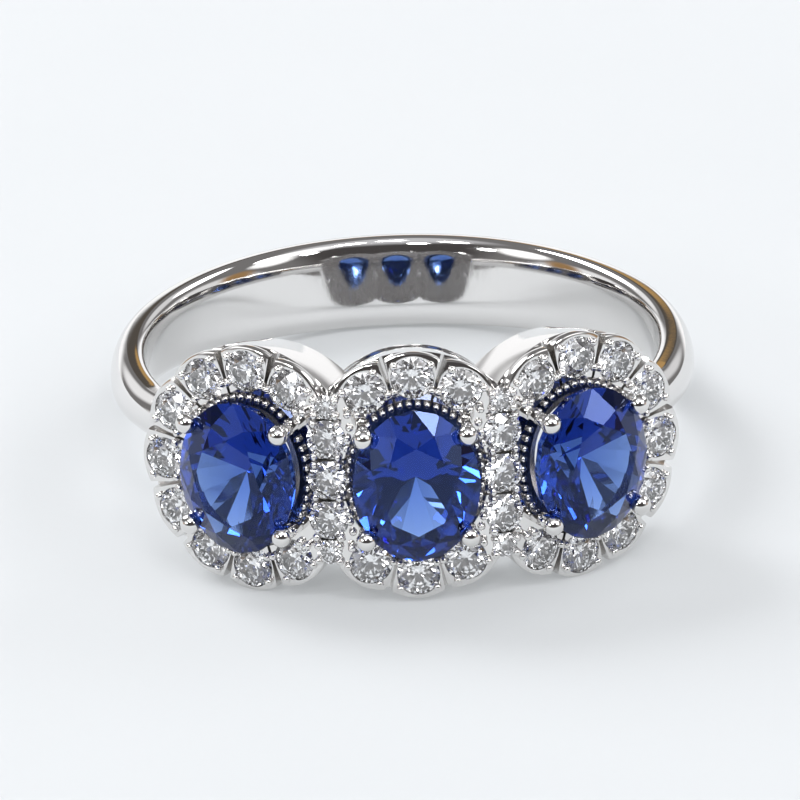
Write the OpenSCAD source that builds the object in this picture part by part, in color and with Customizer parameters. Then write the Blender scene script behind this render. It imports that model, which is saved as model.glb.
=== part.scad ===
// Three stone ring, lying on its side
// Three oval sapphires, each in an oval halo of small diamonds, on one polished white gold mount.
// Millimetres. The ring rests on the lower rims of its two outer settings and on the back of its shank,
// so the finger axis leans a few degrees from +Z. The sapphires face -Y.

/* [Finger hole] */
// Inner diameter of the ring
finger_d = 17; // [16.5:0.5:18]

/* [Shank] */
// Width of the shank at the back of the finger
back_w = 3.2; // [2.8:0.1:3.6]
// Width of the shank where it reaches the head
shoulder_w = 1.5; // [1.4:0.1:2]
// Thickness of the shank
shank_t = 1.2; // [1.1:0.1:1.5]

/* [Head] */
// Height of the diamonds' widest level above the finger hole
head_h = 2.4; // [2.3:0.1:2.8]
// Distance from the middle of a setting to the ridge where two settings meet
fold_x = 2.76; // [2.72:0.02:2.84]
// Metal outside the diamonds, at the rim
rim_t = 0.14; // [0.1:0.02:0.2]
// How far the setting's wall draws in towards the finger
wall_taper = 0.5; // [0.3:0.1:0.6]

/* [Sapphires] */
// Length of a sapphire, along the finger
sapphire_l = 5; // [4.9:0.1:5.1]
// Width of a sapphire
sapphire_w = 4; // [3.9:0.1:4.1]
// Height of the sapphires' widest level above the diamonds' widest level
sapphire_rise = 0.9; // [0.8:0.05:1]

/* [Diamonds] */
// Diameter of a diamond in the halos
diamond_d = 1.35; // [1.3:0.05:1.4]
// Diameter of a diamond on the ridge between two settings
ridge_d = 1.25; // [1.15:0.05:1.25]
// Diameter of the small diamond at each end of a ridge
end_d = 0.8; // [0.7:0.05:0.8]

/* [Claws] */
// Diameter of a sapphire claw's round tip
claw_d = 0.62; // [0.56:0.02:0.66]
// Diameter of a bead that holds a diamond
bead_d = 0.28; // [0.24:0.02:0.3]

/* [Hidden] */
// Clearances and overlaps
stone_gap = 0.02;
cut_over = 1;

// Radii measured from the finger axis
finger_r = finger_d / 2;
diamond_r = finger_r + head_h;
sapphire_r = diamond_r + sapphire_rise;
rim_rise = 0.12;
top_r = diamond_r + rim_rise;

// The three settings stand side by side round the finger
setting_count = 3;
settings = [-1, 0, 1];
pitch = 2 * atan(fold_x / diamond_r);

// Half sizes of the ovals: sapphire, line of the halo's stones, rim, well behind the sapphire
sapphire_a = sapphire_w / 2;
sapphire_b = sapphire_l / 2;
halo_a = sapphire_a + 1;
halo_b = sapphire_b + 0.78;
rim_a = halo_a + diamond_d / 2 + rim_t;
rim_b = halo_b + diamond_d / 2 + rim_t;
ledge = 0.13;
well_a = halo_a - diamond_d / 2 - ledge;
well_b = halo_b - diamond_d / 2 - ledge;
back_well_a = 1.15;
back_well_b = 1.65;

// The setting's wall: its lip below the rim, and how much of its taper it has lost at mid height
lip_h = 0.35;
lip_in = 0.06;
mid_share = 0.45;

// The well: its straight part below the diamonds' level, then the slope to its back hole
well_straight = 0.3;
well_slope = 1;

// Proportions of the cuts, as shares of the stone's width
round_cut = [["table", 0.56], ["crown", 0.15], ["girdle", 0.03], ["pavilion", 0.43]];
oval_cut = [["table", 0.56], ["crown", 0.165], ["girdle", 0.03], ["pavilion", 0.47]];
function share(cut, name) = [for (row = cut) if (row[0] == name) row[1]][0];
// Steps of the pavilions, as [share of the width, share of the depth]
round_steps = [[0.3, 0.69]];
oval_steps = [[0.84, 0.3], [0.5, 0.68]];
// Points of the star facets, as shares from the table to the girdle
star_out = 0.46;
star_down = 0.5;

// Fineness of the lofted surfaces
oval_sides = 48;
shank_step = 4;
shank_sides = 24;
fine = 48;

// Angle from the back of the shank to its ends, which are inside the outer settings
shank_reach = 180 - pitch - 12;
// Angle at which the shank has drawn in to its shoulder width
shoulder_at = 112;
// Squareness of the shank's section, inside and outside: 2 is an ellipse
inner_square = 4.4;
outer_square = 2.3;
// Depth of the cylindrical land that the finger hole leaves inside the shank
land = 0.04;

// Diamonds of the halo stand at these angles of the oval
centre_angles = [-30, 0, 30, 150, 180, 210];
outer_angles = [-30, 0, 30, 60, 90, 120, 150, 180, 210];
ridge_gap = 0.05;
ridge_z = (diamond_d + ridge_d) / 2 + ridge_gap;
end_z = ridge_z + (ridge_d + end_d) / 2 + ridge_gap;

// A stone is [setting, angle off the setting's middle, x, z, radius from the axis, diameter]
function halo_stone(k, t) = [k * pitch, halo_a * sin(t), halo_b * cos(t), diamond_r, diamond_d];
function ridge_stone(side, z, d) = [side * pitch / 2, 0, z, diamond_r / cos(pitch / 2), d];
diamonds = concat(
    [for (t = outer_angles) halo_stone(-1, -t)],
    [for (t = centre_angles) halo_stone(0, t)],
    [for (t = outer_angles) halo_stone(1, t)],
    [for (side = [-1, 1], z = [-ridge_z, 0, ridge_z]) ridge_stone(side, z, ridge_d)],
    [for (side = [-1, 1], z = [-end_z, end_z]) ridge_stone(side, z, end_d)]
);
diamond_count = len(diamonds);

// Claws stand on the diagonals of each sapphire
claw_angle = 50;
claw_out = 0.12;
claw_a = sapphire_a + claw_out;
claw_b = sapphire_b + claw_out;
claw_rise = 0.2;
claw_depth = 0.7;
claw_top_r = sapphire_r + claw_rise;
// Width of a claw's or bead's stem, as a share of its round tip
stem_share = 0.86;

// Beads stand in pairs between neighbouring diamonds, outside the halo's line and inside it
bead_spread = 0.16;
bead_out = 0.52;
bead_rise = 0.1;
bead_depth = 0.3;
// Seats of the diamonds: their depth as a share of the stone's width, and the width of their floor
seat_share = 0.45;
seat_floor = 0.1;
centre_bead_angles = [-15, 15, 165, 195];
outer_bead_angles = [-15, 15, 45, 75, 105, 135, 165, 195];

// Lean of the finger axis when the ring lies on a table
rest_y = top_r * cos(pitch);
lean = atan((rim_b - back_w / 2) / (rest_y + finger_r + shank_t / 2));
rest_z = rim_b * cos(lean) - rest_y * sin(lean);
front_y = claw_top_r * cos(lean) + claw_b * cos(claw_angle) * sin(lean) + claw_d / 2;
back_y = (finger_r + shank_t) * cos(lean);

names = concat(
    ["mount", "sapphire_left", "sapphire_centre", "sapphire_right"],
    [for (i = [1 : diamond_count]) str("diamond_", i < 10 ? "0" : "", i)]
);

// Rings of points joined into one closed solid
module loft(rings) {
    n = len(rings[0]);
    last = len(rings) - 1;
    sides = [
        for (j = [0 : last - 1], i = [0 : n - 1])
            let (i2 = (i + 1) % n)
            each [
                [j * n + i, (j + 1) * n + i, (j + 1) * n + i2],
                [j * n + i, (j + 1) * n + i2, j * n + i2]
            ]
    ];
    polyhedron(
        points = [for (ring = rings, p = ring) p],
        faces = concat(
            [[for (i = [0 : n - 1]) i]],
            [[for (i = [n - 1 : -1 : 0]) last * n + i]],
            sides
        )
    );
}

// Oval of half sizes a and b at height h
function oval(a, b, h) = [
    for (i = [0 : oval_sides - 1]) [a * cos(360 * i / oval_sides), b * sin(360 * i / oval_sides), h]
];

// Puts a piece on a setting's face: its x runs round the ring, y along the finger, z outwards
module on_face(turn, r = 0) {
    rotate([0, 0, turn]) translate([0, -r, 0]) rotate([90, 0, 0]) children();
}

// Lays the ring down as it rests on a table
module rest() {
    translate([0, (front_y - back_y) / 2, rest_z]) rotate([-lean, 0, 0]) children();
}

// Ring of n facet points at height h, the first one turned by start degrees
function facet_ring(a, b, n, start, h) = [
    for (i = [0 : n - 1]) [a * sin(start + 360 * i / n), b * cos(start + 360 * i / n), h]
];
// Cut stone with its widest level at z = 0 and half sizes a and b, grown by g for its seat
module brilliant(a, b, cut, steps, g = 0) {
    w = 2 * min(a, b);
    ga = a + g;
    gb = b + g;
    table = share(cut, "table");
    star = table + star_out * (1 - table);
    crown_h = share(cut, "crown") * w + g;
    pavilion_h = share(cut, "pavilion") * w + g;
    edge = share(cut, "girdle") * w / 2 + g;
    rings = len(steps) + 1;
    tip = 32 + 16 * rings;
    points = concat(
        facet_ring(ga * table, gb * table, 8, 0, edge + crown_h),
        facet_ring(ga * star, gb * star, 8, 22.5, edge + star_down * crown_h),
        facet_ring(ga, gb, 16, 0, edge),
        facet_ring(ga, gb, 16, 0, -edge),
        [for (p = steps) each facet_ring(ga * p[0], gb * p[0], 16, 0, -edge - pavilion_h * p[1])],
        [[0, 0, -edge - pavilion_h]]
    );
    polyhedron(points = points, faces = concat(
        [[for (i = [0 : 7]) i]],
        [for (i = [0 : 7]) each [
            [i, 8 + i, (i + 1) % 8],
            [i, 16 + 2 * i, 8 + i],
            [i, 8 + (i + 7) % 8, 16 + 2 * i],
            [8 + i, 16 + 2 * i, 17 + 2 * i],
            [8 + i, 17 + 2 * i, 16 + (2 * i + 2) % 16]
        ]],
        [for (j = [0 : rings - 1], i = [0 : 15]) let (top = 16 + 16 * j, n = (i + 1) % 16) each [
            [top + i, top + 16 + i, top + 16 + n],
            [top + i, top + 16 + n, top + n]
        ]],
        [for (i = [0 : 15]) [tip, tip - 16 + (i + 1) % 16, tip - 16 + i]]
    ));
}

// Shank: its width and section at angle f from the back, lofted from shoulder to shoulder
function draw_in(f) = min(1, (1 - cos(f)) / (1 - cos(shoulder_at)));
function shank_half_w(f) = (back_w + (shoulder_w - back_w) * draw_in(f)) / 2;
function soften(v, square) = sign(v) * pow(abs(v), 2 / square);
function section(f) = [
    for (i = [0 : shank_sides - 1])
        let (
            s = 360 * i / shank_sides,
            square = cos(s) < 0 ? inner_square : outer_square,
            r = finger_r - land + (shank_t + land) * (1 + soften(cos(s), square)) / 2,
            z = shank_half_w(f) * soften(sin(s), square)
        )
        [r * sin(f), r * cos(f), z]
];
module shank() {
    last = round(2 * shank_reach / shank_step);
    loft([for (i = [0 : last]) section(shank_reach * (2 * i / last - 1))]);
}

// Setting: an oval wall that flares from the finger to the halo's rim, and the well inside it
module setting_wall(k) {
    on_face(k * pitch) loft([
        oval(rim_a - wall_taper, rim_b - wall_taper, finger_r - cut_over),
        oval(rim_a - mid_share * wall_taper, rim_b - mid_share * wall_taper, diamond_r - head_h / 2),
        oval(rim_a - lip_in, rim_b - lip_in, diamond_r - lip_h),
        oval(rim_a, rim_b, diamond_r),
        oval(rim_a, rim_b, top_r + cut_over)
    ]);
}
module setting_well(k) {
    on_face(k * pitch) loft([
        oval(back_well_a, back_well_b, finger_r - cut_over),
        oval(back_well_a, back_well_b, diamond_r - well_straight - well_slope),
        oval(well_a, well_b, diamond_r - well_straight),
        oval(well_a, well_b, top_r + cut_over)
    ]);
}

// Everything below the flat faces of the three settings, which meet in a ridge
module below_faces() {
    far = 3 * top_r;
    intersection_for(k = settings)
        on_face(k * pitch, top_r) translate([0, 0, -far]) cube(2 * far, center = true);
}

// Round claw or bead standing along z, with its ball's middle at height h
module claw(d, foot, h) {
    translate([0, 0, foot]) cylinder(h = h - foot, d = d * stem_share, $fn = fine);
    translate([0, 0, h]) sphere(d = d, $fn = fine);
}
module claws(k) {
    for (sx = [-1, 1], sy = [-1, 1])
        on_face(k * pitch) translate([sx * claw_a * sin(claw_angle), sy * claw_b * cos(claw_angle), 0])
            claw(claw_d, diamond_r - claw_depth, claw_top_r);
}

// Pair of beads at angle t of setting k's oval
module bead_pair(k, t) {
    for (s = [-1, 1])
        on_face(k * pitch) translate([
            (halo_a + bead_out) * sin(t) + s * bead_spread * cos(t),
            (halo_b + bead_out) * cos(t) - s * bead_spread * sin(t),
            0
        ]) claw(bead_d, diamond_r - bead_depth, top_r + bead_rise);
}
module beads() {
    for (t = centre_bead_angles) bead_pair(0, t);
    for (t = outer_bead_angles) {
        bead_pair(-1, -t);
        bead_pair(1, t);
    }
}

// Seats: the space that each stone needs, with its clearance
module diamond_at(row, g = 0) {
    r = row[4] / 2;
    on_face(row[0]) translate([row[1], row[2], row[3]]) brilliant(r, r, round_cut, round_steps, g);
}
module sapphire_at(k, g = 0) {
    on_face(k * pitch, sapphire_r) brilliant(sapphire_a, sapphire_b, oval_cut, oval_steps, g);
}
module diamond_seat(row) {
    depth = seat_share * row[4];
    r = row[4] / 2 + stone_gap;
    on_face(row[0]) translate([row[1], row[2], row[3]]) rotate_extrude($fn = fine)
        polygon([[0, -depth], [seat_floor / 2, -depth], [r, 0], [r, cut_over], [0, cut_over]]);
}

// The soldered metal: shank, three settings, claws and beads
module mount() {
    color("silver") difference() {
        union() {
            shank();
            intersection() {
                union() for (k = settings) setting_wall(k);
                below_faces();
            }
            for (k = settings) claws(k);
            beads();
        }
        cylinder(h = 4 * rim_b, r = finger_r, center = true, $fn = 4 * fine);
        for (k = settings) setting_well(k);
        for (k = settings) sapphire_at(k, stone_gap);
        for (row = diamonds) diamond_seat(row);
    }
}
module sapphire(k) {
    color("mediumblue") sapphire_at(k);
}
module diamond(i) {
    color("white") diamond_at(diamonds[i]);
}

rest() mount();
for (i = [0 : setting_count - 1])
    rest() sapphire(settings[i]);
for (i = [0 : diamond_count - 1])
    rest() diamond(i);
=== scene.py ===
# %% [markdown]
# # Three stone ring
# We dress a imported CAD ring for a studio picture. Three oval sapphires stand in oval halos of small
# diamonds, all on one white gold mount, and the ring lies on its side on a pale table.
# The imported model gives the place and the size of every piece. We only make the pieces finer, give
# them their finishes and light them.

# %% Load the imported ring
import bpy
import bmesh
import math
from mathutils import Matrix, Vector


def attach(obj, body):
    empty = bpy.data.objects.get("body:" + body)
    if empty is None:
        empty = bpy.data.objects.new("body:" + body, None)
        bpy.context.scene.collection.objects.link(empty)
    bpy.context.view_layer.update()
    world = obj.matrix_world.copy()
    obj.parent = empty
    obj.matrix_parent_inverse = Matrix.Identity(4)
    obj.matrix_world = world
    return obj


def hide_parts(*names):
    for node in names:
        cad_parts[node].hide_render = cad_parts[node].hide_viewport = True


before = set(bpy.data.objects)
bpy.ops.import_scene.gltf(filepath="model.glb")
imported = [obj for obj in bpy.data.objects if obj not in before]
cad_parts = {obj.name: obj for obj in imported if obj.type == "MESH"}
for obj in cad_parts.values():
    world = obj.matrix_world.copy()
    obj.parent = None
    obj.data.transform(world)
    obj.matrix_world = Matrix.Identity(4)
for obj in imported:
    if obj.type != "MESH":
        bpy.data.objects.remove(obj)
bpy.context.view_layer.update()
print("nodes in the packed ring:", len(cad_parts))

# %% [markdown]
# ## Sizes
# A jeweller names a ring by its finger size and by the sizes of its stones, so we write those first
# and work the rest out from them. They repeat the sizes of the CAD model, because this script reads no
# other file. All are in millimetres. A name in _R is a distance from the middle of the finger, a name
# in _D is a width across, and A and B are the half widths of an oval, round the ring and along the
# finger.

# %% Named sizes in millimetres
MM = 0.001
FINGER_R = 8.5
SHANK_T, BACK_W, SHOULDER_W = 1.2, 3.2, 1.5
SAPPHIRE_A, SAPPHIRE_B = 2.0, 2.5
HALO_A, HALO_B = 3.0, 3.28
DIAMOND_D, RIDGE_D, END_D = 1.35, 1.25, 0.8
HEAD_H, SAPPHIRE_RISE, RIM_RISE = 2.4, 0.9, 0.12
RIM_WALL, LEDGE = 0.14, 0.13
HALF_STEP = 2.76
DIAMOND_R = FINGER_R + HEAD_H
SAPPHIRE_R = DIAMOND_R + SAPPHIRE_RISE
TOP_R = DIAMOND_R + RIM_RISE
RIM_A, RIM_B = HALO_A + DIAMOND_D / 2 + RIM_WALL, HALO_B + DIAMOND_D / 2 + RIM_WALL
WELL_A, WELL_B = HALO_A - DIAMOND_D / 2 - LEDGE, HALO_B - DIAMOND_D / 2 - LEDGE
SETTINGS = (-1, 0, 1)
PITCH = 2 * math.degrees(math.atan(HALF_STEP / DIAMOND_R))
print("angle between two settings:", round(PITCH, 2), "degrees")

# %% Where the claws stand
CLAW_D = 0.62
CLAW_R = SAPPHIRE_R + 0.2
CLAW_ANGLE = math.radians(50)
CLAW_OUT = 0.12
CLAW_X = (SAPPHIRE_A + CLAW_OUT) * math.sin(CLAW_ANGLE)
CLAW_Y = (SAPPHIRE_B + CLAW_OUT) * math.cos(CLAW_ANGLE)
print("claws stand", round(CLAW_X, 2), "and", round(CLAW_Y, 2), "mm from the middle of their sapphire")

# %% [markdown]
# ## How the ring lies
# A ring with a heavy head can't lie flat. It rests on the lower rims of its outer settings and on the
# back of the shank, so the finger's axis leans. We build every piece upright, round the Z axis and with
# the head towards -Y, and one matrix lays it down, so nothing is turned by hand later. The same matrix
# turns millimetres into metres.

# %% The matrix that lays the ring down
rest_y = TOP_R * math.cos(math.radians(PITCH))
LEAN = math.atan((RIM_B - BACK_W / 2) / (rest_y + FINGER_R + SHANK_T / 2))
rest_z = RIM_B * math.cos(LEAN) - rest_y * math.sin(LEAN)
front_y = CLAW_R * math.cos(LEAN) + CLAW_Y * math.sin(LEAN) + CLAW_D / 2
back_y = (FINGER_R + SHANK_T) * math.cos(LEAN)
MIDDLE = Vector((0, (front_y - back_y) / 2, rest_z))
LAY = Matrix.Scale(MM, 4) @ Matrix.Translation(MIDDLE) @ Matrix.Rotation(-LEAN, 4, "X")
print("the finger's axis leans", round(math.degrees(LEAN), 2), "degrees")


# %% [markdown]
# ## Places on the ring
# A setting has its own upright: x runs round the ring, y along the finger, z out of the ring. One
# function gives the matrix from that to the upright ring, and two more use it to say where a point
# comes to lie on the table and which way is out.

# %% Helpers for places
def on_face(turn, r=0.0):
    """The matrix from a setting's own x, y and z to the upright ring; turn is in degrees."""
    f = math.radians(turn)
    out = Vector((math.sin(f), -math.cos(f), 0))
    round_way = Vector((math.cos(f), math.sin(f), 0))
    m = Matrix((round_way, Vector((0, 0, 1)), out)).transposed().to_4x4()
    return Matrix.Translation(out * r) @ m


def laid(turn, x, y, r):
    """Where the point x, y, r of a setting comes to lie."""
    return LAY @ (on_face(turn) @ Vector((x, y, r)))


def out_of(turn):
    """The way out of the ring at that turn, with the ring laid down."""
    return (LAY.to_3x3() @ on_face(turn).to_3x3() @ Vector((0, 0, 1))).normalized()


print("the middle sapphire lies at", [round(v, 5) for v in laid(0, 0, 0, SAPPHIRE_R)])


# %% [markdown]
# ## Turning meshes into pieces
# A bmesh is Blender's mesh for editing. The first helper turns one into a piece whose object stays at
# the origin, because patterns and exports then need no care. The second joins rings of points by
# faces. The third reads the result of an object's modifiers and keeps it as a plain piece.

# %% Helpers for pieces
def linked(name, data):
    """A new object in the scene that shows this mesh, lamp or camera."""
    thing = bpy.data.objects.new(name, data)
    bpy.context.scene.collection.objects.link(thing)
    return thing


def piece_from(bm, name, smooth_below=32):
    """A piece whose edges look sharp from smooth_below degrees on."""
    bmesh.ops.recalc_face_normals(bm, faces=bm.faces)
    mesh = bpy.data.meshes.new(name)
    for f in bm.faces:
        f.smooth = True
    bm.to_mesh(mesh)
    bm.free()
    mesh.set_sharp_from_angle(angle=math.radians(smooth_below))
    return linked(name, mesh)


def bridge_rings(bm, rings, capped=True):
    """Joins each ring to the next: with a cap at both ends, or else back to the first ring."""
    rows = [[bm.verts.new(p) for p in ring] for ring in rings]
    n = len(rows[0])
    following = rows[1:] if capped else rows[1:] + rows[:1]
    for low, high in zip(rows, following):
        for i in range(n):
            j = (i + 1) % n
            bm.faces.new((low[i], low[j], high[j], high[i]))
    if capped:
        bm.faces.new(rows[0][::-1])
        bm.faces.new(rows[-1])


def baked(helper, name):
    """The evaluated mesh of a helper object as a plain piece; the helper goes."""
    graph = bpy.context.evaluated_depsgraph_get()
    mesh = bpy.data.meshes.new_from_object(helper.evaluated_get(graph))
    bpy.data.objects.remove(helper)
    mesh.name = name
    return linked(name, mesh)


print("helpers:", [f.__name__ for f in (linked, piece_from, bridge_rings, baked)])


# %% [markdown]
# ## Building node trees
# Materials and Geometry Nodes are both trees of nodes. These helpers keep the cells that build them
# short: one makes a tree with named inputs and outputs, one adds a node with its values, one joins
# sockets in pairs, and one writes a sum as a node.

# %% Helpers for nodes
def new_tree(kind, name, inputs, outputs):
    """A tree with inputs (title, kind, value) and outputs (title, kind), and its two end nodes."""
    tree = bpy.data.node_groups.new(name, kind)
    for title, socket, value in inputs:
        s = tree.interface.new_socket(title, in_out="INPUT", socket_type=socket)
        if value is not None:
            s.default_value = value
    for title, socket in outputs:
        tree.interface.new_socket(title, in_out="OUTPUT", socket_type=socket)
    return tree, tree.nodes.new("NodeGroupInput"), tree.nodes.new("NodeGroupOutput")


def add(tree, kind, values=None, **settings):
    """A node with its settings, and the values of its sockets by name or number."""
    node = tree.nodes.new(kind)
    for key, value in settings.items():
        setattr(node, key, value)
    for socket, value in (values or {}).items():
        node.inputs[socket].default_value = value
    return node


def wire(tree, *pairs):
    for start, end in pairs:
        tree.links.new(start, end)


def calc(tree, operation, a, b=None):
    """A math node on two sockets or numbers; it gives the socket of the result."""
    node = add(tree, "ShaderNodeMath", operation=operation)
    for socket, value in zip(node.inputs, (a, b)):
        if isinstance(value, (int, float)):
            socket.default_value = value
        elif value is not None:
            tree.links.new(value, socket)
    return node.outputs[0]


# the numbers of a colour Mix node's sockets: two colours in, one out
MIX_A, MIX_B, MIXED = 6, 7, 2
print("helpers:", [f.__name__ for f in (new_tree, add, wire, calc)])

# %% [markdown]
# ## Marks in polished metal
# Polished metal is never perfectly even. Fine hairlines catch the light and change its roughness a
# little, and wide clouds of wear change its tone. A node group holds this effect once, with named
# inputs, and each finish gives it its own values. The hairlines are noise that is stretched along the
# finger, since a ring is buffed that way.

# %% Node group for polish marks
polish, given, made = new_tree("ShaderNodeTree", "polish_marks", [
    ("Place", "NodeSocketVector", None),
    ("Hairlines", "NodeSocketFloat", 9000.0),
    ("Smoothest", "NodeSocketFloat", 0.04),
    ("Roughest", "NodeSocketFloat", 0.12),
    ("Bright", "NodeSocketColor", (0.93, 0.93, 0.92, 1)),
    ("Dull", "NodeSocketColor", (0.86, 0.86, 0.86, 1)),
], [("Colour", "NodeSocketColor"), ("Roughness", "NodeSocketFloat"), ("Height", "NodeSocketFloat")])
stretch = add(polish, "ShaderNodeVectorMath", {1: (1.0, 1.0, 0.12)}, operation="MULTIPLY")
lines = add(polish, "ShaderNodeTexNoise", {"Detail": 3.0, "Roughness": 0.6})
clouds = add(polish, "ShaderNodeTexNoise", {"Scale": 420.0, "Detail": 4.0})
rough = add(polish, "ShaderNodeMapRange", {"From Min": 0.15, "From Max": 0.4})
tone = add(polish, "ShaderNodeMix", data_type="RGBA")
both = calc(polish, "MULTIPLY", lines.outputs[0], clouds.outputs[0])
wire(
    polish,
    (given.outputs["Place"], stretch.inputs[0]),
    (stretch.outputs[0], lines.inputs["Vector"]),
    (given.outputs["Hairlines"], lines.inputs["Scale"]),
    (given.outputs["Place"], clouds.inputs["Vector"]),
    (both, rough.inputs["Value"]),
    (given.outputs["Smoothest"], rough.inputs["To Min"]),
    (given.outputs["Roughest"], rough.inputs["To Max"]),
    (clouds.outputs[0], tone.inputs[0]),
    (given.outputs["Bright"], tone.inputs[MIX_A]),
    (given.outputs["Dull"], tone.inputs[MIX_B]),
    (tone.outputs[MIXED], made.inputs["Colour"]),
    (rough.outputs[0], made.inputs["Roughness"]),
    (lines.outputs[0], made.inputs["Height"]),
)
print("inputs of the polish group:", [s.name for s in given.outputs if s.name])


# %% [markdown]
# ## White gold
# White gold jewellery is plated with rhodium, a cool and very bright metal. It has three finishes
# here. The outside is polished and mirrors the studio. The walls of the seats are cut and a little
# duller. The inside of the head is hard to reach with a buff, so it stays satin. Its colour is painted
# far darker than rhodium: painted shade for the shadowed inside of the head. One function makes all
# three, because only the values differ.

# %% White gold in three finishes
def white_gold(name, hairlines, smoothest, roughest, bright, dull, depth):
    """Hairlines is their fineness, and depth their depth in metres."""
    mat = bpy.data.materials.new(name)
    mat.use_nodes = True
    nt = mat.node_tree
    shader = nt.nodes["Principled BSDF"]
    shader.inputs["Metallic"].default_value = 1.0
    place = add(nt, "ShaderNodeTexCoord")
    marks = add(nt, "ShaderNodeGroup", node_tree=polish)
    values = {"Hairlines": hairlines, "Smoothest": smoothest, "Roughest": roughest,
              "Bright": (*bright, 1), "Dull": (*dull, 1)}
    for title, value in values.items():
        marks.inputs[title].default_value = value
    bump = add(nt, "ShaderNodeBump", {"Strength": 0.25, "Distance": depth})
    wire(
        nt,
        (place.outputs["Object"], marks.inputs["Place"]),
        (marks.outputs["Colour"], shader.inputs["Base Color"]),
        (marks.outputs["Roughness"], shader.inputs["Roughness"]),
        (marks.outputs["Height"], bump.inputs["Height"]),
        (bump.outputs["Normal"], shader.inputs["Normal"]),
    )
    return mat


polished_gold = white_gold("white_gold_polished", hairlines=9000, smoothest=0.03, roughest=0.09,
                           bright=(0.80, 0.79, 0.78), dull=(0.74, 0.73, 0.72), depth=2e-6)
cut_gold = white_gold("white_gold_cut", hairlines=14000, smoothest=0.12, roughest=0.26,
                      bright=(0.80, 0.79, 0.78), dull=(0.70, 0.69, 0.68), depth=4e-6)
# the satin's real part is its roughness; its dark colours are painted shade, far darker than rhodium
satin_shaded_gold = white_gold("white_gold_satin", hairlines=12000, smoothest=0.20, roughest=0.34,
                        bright=(0.30, 0.29, 0.29), dull=(0.25, 0.24, 0.24), depth=4e-6)
METALS = (polished_gold, cut_gold, satin_shaded_gold)
POLISHED, CUT, SATIN_SHADED = 0, 1, 2
print("metals:", [m.name for m in METALS])

# %% [markdown]
# ## Colour zones in a stone
# Natural sapphires have zones of deeper and paler blue, and few diamonds are quite colourless. A
# second group varies a colour slowly from place to place, and both kinds of stone use it.

# %% Node group for colour zones
zones, given, made = new_tree("ShaderNodeTree", "colour_zones", [
    ("Place", "NodeSocketVector", None),
    ("Size", "NodeSocketFloat", 500.0),
    ("Pale", "NodeSocketColor", (1, 1, 1, 1)),
    ("Deep", "NodeSocketColor", (0.9, 0.9, 0.9, 1)),
], [("Colour", "NodeSocketColor")])
cloud = add(zones, "ShaderNodeTexNoise", {"Detail": 2.0})
blend = add(zones, "ShaderNodeMix", data_type="RGBA")
wire(
    zones,
    (given.outputs["Place"], cloud.inputs["Vector"]),
    (given.outputs["Size"], cloud.inputs["Scale"]),
    (cloud.outputs[0], blend.inputs[0]),
    (given.outputs["Pale"], blend.inputs[MIX_A]),
    (given.outputs["Deep"], blend.inputs[MIX_B]),
    (blend.outputs[MIXED], made.inputs["Colour"]),
)
print("inputs of the zones group:", [s.name for s in given.outputs if s.name])


# %% [markdown]
# ## Clear stones
# A gem is clear, and its colour comes from light that travels inside it. Corundum bends light with an
# index of 1.77 and diamond with 2.42. A blue surface alone would be quicker to make, but it would leave
# a thick stone as pale as a thin one, so the inside of a sapphire also swallows light. Its flat top
# facet mirrors the white paper, which lies over the blue like a milky veil, and a blue tint on the
# gloss keeps that veil down.

# %% Clear stones
def clear_stone(name, index, size, pale, deep, gloss=(1, 1, 1), inside=None, density=0):
    """Size is the fineness of the zones; inside and density tell how light is swallowed."""
    mat = bpy.data.materials.new(name)
    mat.use_nodes = True
    nt = mat.node_tree
    shader = nt.nodes["Principled BSDF"]
    shader.inputs["Transmission Weight"].default_value = 1.0
    shader.inputs["IOR"].default_value = index
    shader.inputs["Roughness"].default_value = 0.0
    shader.inputs["Specular Tint"].default_value = (*gloss, 1)
    place = add(nt, "ShaderNodeTexCoord")
    zone = add(nt, "ShaderNodeGroup", node_tree=zones)
    for title, value in {"Size": size, "Pale": (*pale, 1), "Deep": (*deep, 1)}.items():
        zone.inputs[title].default_value = value
    wire(
        nt,
        (place.outputs["Object"], zone.inputs["Place"]),
        (zone.outputs["Colour"], shader.inputs["Base Color"]),
    )
    if inside:
        depth = add(nt, "ShaderNodeVolumeAbsorption", {"Color": (*inside, 1), "Density": density})
        wire(nt, (depth.outputs[0], nt.nodes["Material Output"].inputs["Volume"]))
    return mat


diamond_look = clear_stone("diamond_clear", index=2.42, size=900,
                           pale=(1.0, 1.0, 1.0), deep=(0.95, 0.97, 1.0))
sapphire_look = clear_stone("sapphire_blue", index=1.77, size=350,
                            pale=(0.60, 0.74, 1.0), deep=(0.46, 0.62, 0.94),
                            gloss=(0.33, 0.45, 0.88), inside=(0.05, 0.30, 0.72), density=740)
print("stones:", diamond_look.name, sapphire_look.name)


# %% [markdown]
# ## Running a geometry tree
# Geometry Nodes run as a modifier of an object. This helper gives them a mesh of bare points, each
# with its way out of the ring, sets the tree's inputs by their identifiers, and keeps the result as a
# plain piece without the modifier.

# %% Helper that grows a piece
def grown(name, tree, places, values, attributes=None):
    """Runs a tree on points (place, outward) of the laid ring; attributes are numbers per point."""
    mesh = bpy.data.meshes.new(name)
    mesh.from_pydata([p for p, _ in places], [], [])
    out = mesh.attributes.new("outward", "FLOAT_VECTOR", "POINT")
    for i, (_, way) in enumerate(places):
        out.data[i].vector = way
    for title, numbers in (attributes or {}).items():
        a = mesh.attributes.new(title, "FLOAT", "POINT")
        for i, v in enumerate(numbers):
            a.data[i].value = v
    seed = linked(name + "_points", mesh)
    mod = seed.modifiers.new("grow", "NODES")
    mod.node_group = tree
    for item in tree.interface.items_tree:
        if getattr(item, "in_out", "") == "INPUT" and item.name in values:
            mod[item.identifier] = values[item.name]
    piece = baked(seed, name)
    print(name, "on", len(places), "points:", len(piece.data.polygons), "faces")
    return piece


GEOMETRY = ("Geometry", "NodeSocketGeometry")
print("helper:", grown.__name__)

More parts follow.
